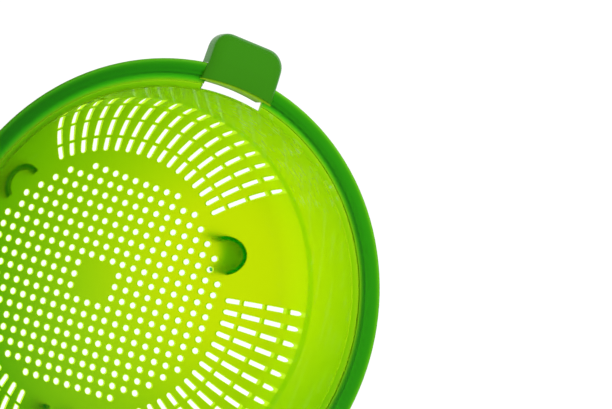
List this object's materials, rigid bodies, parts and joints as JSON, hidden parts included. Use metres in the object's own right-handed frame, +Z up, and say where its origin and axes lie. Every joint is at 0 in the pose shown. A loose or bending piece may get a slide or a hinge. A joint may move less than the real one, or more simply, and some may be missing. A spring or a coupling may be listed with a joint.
{
  "type": "colander",
  "caption": "Round translucent plastic colander with a domed perforated floor, slotted curved wall, clipped rim ring, hooded finger grips and half-round feet.",
  "frame": {"origin": "on the bowl's axis, in the plane that the feet stand on", "axes": "+Z up along the bowl's axis, +Y towards the grip handle_back"},
  "size_m": [0.2398, 0.273, 0.1161],
  "materials": {
    "lime_plastic": "gloss",
    "green_plastic": "gloss"
  },
  "bodies": {
    "root": {"bowl": "lime_plastic", "rim_ring": "green_plastic", "handle_back": "green_plastic", "handle_front": "green_plastic", "foot_right": "green_plastic", "foot_left": "green_plastic", "foot_front": "green_plastic"}
  },
  "joints": []
}
